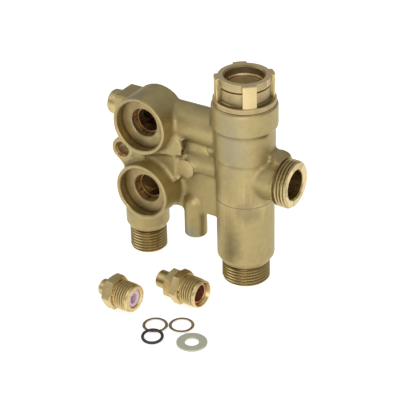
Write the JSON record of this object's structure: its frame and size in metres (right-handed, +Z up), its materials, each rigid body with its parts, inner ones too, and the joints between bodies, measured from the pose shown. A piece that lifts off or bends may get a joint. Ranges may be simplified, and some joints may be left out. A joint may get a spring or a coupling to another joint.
{
  "type": "boiler diverter valve",
  "caption": "Brass boiler diverter valve: threaded barrel with actuator collar, side port and a return manifold with heat exchanger sockets, plus loose unions and seals.",
  "frame": {"origin": "centre of the flow spigot's end face, on the barrel's axis", "axes": "+Z up the barrel, +X along the side port, -Y out of the two sockets"},
  "size_m": [0.1166, 0.1021, 0.1239],
  "materials": {
    "cast_brass": "as cast, shot blasted",
    "machined_brass": "turned",
    "steel": "satin",
    "rubber": "matte",
    "plastic": "moulded",
    "pink_plastic": "moulded",
    "pale_plastic": "moulded",
    "copper": "drawn copper",
    "bronze_washer": "polished",
    "fibre": "pressed fibre"
  },
  "bodies": {
    "body": {"valve_body": "cast_brass", "actuator_collar": "machined_brass", "collar_seal": "rubber", "gland_bush": "machined_brass", "gland_oring": "rubber", "spindle_seal": "rubber", "gland_washer": "steel", "guide_cage": "plastic", "upper_seat": "machined_brass", "seat_oring": "rubber", "lower_seat": "machined_brass", "return_spring": "steel", "bypass_seat": "machined_brass", "bypass_guide": "plastic", "bypass_spring": "steel", "side_nipple": "machined_brass", "nipple_seal": "rubber"},
    "plug": {"spindle": "steel", "spring_cap": "plastic", "upper_plug": "steel", "upper_plug_seal": "rubber", "plug_spacer": "machined_brass", "lower_plug": "steel", "lower_plug_seal": "rubber", "plug_circlip": "steel"},
    "bypass": {"bypass_poppet": "plastic"},
    "small_union": {"small_union": "machined_brass", "flow_restrictor": "pink_plastic", "restrictor_core": "pale_plastic"},
    "large_union": {"large_union": "machined_brass", "union_tail": "machined_brass", "union_olive": "copper"},
    "washer_left": {"bonded_washer_left": "bronze_washer"},
    "washer_right": {"bonded_washer_right": "bronze_washer"},
    "oring": {"loose_oring": "rubber"},
    "flat_washer": {"fibre_washer": "fibre"}
  },
  "joints": [
    {"name": "plug_slide", "type": "slide", "parent": "body", "child": "plug", "axis": [0, 0, -1], "range_m": [0, 0.0055], "stiffness_N_per_m": 2000, "springref_m": -0.003, "deforming": ["return_spring"]},
    {"name": "bypass_slide", "type": "slide", "parent": "body", "child": "bypass", "axis": [-1, 0, 0], "range_m": [0, 0.003], "stiffness_N_per_m": 300, "springref_m": -0.002, "deforming": ["bypass_spring"]},
    {"name": "small_union_lift", "type": "slide", "parent": "body", "child": "small_union", "axis": [0, 0, 1], "range_m": [0, 0.03]},
    {"name": "large_union_lift", "type": "slide", "parent": "body", "child": "large_union", "axis": [0, 0, 1], "range_m": [0, 0.03]},
    {"name": "washer_left_slide", "type": "slide", "parent": "body", "child": "washer_left", "axis": [-0.4472, 0.8944, 0], "range_m": [0, 0.006]},
    {"name": "washer_right_lift", "type": "slide", "parent": "body", "child": "washer_right", "axis": [0, 0, 1], "range_m": [0, 0.03]},
    {"name": "oring_lift", "type": "slide", "parent": "body", "child": "oring", "axis": [0, 0, 1], "range_m": [0, 0.03]},
    {"name": "flat_washer_lift", "type": "slide", "parent": "body", "child": "flat_washer", "axis": [0, 0, 1], "range_m": [0, 0.03]}
  ]
}
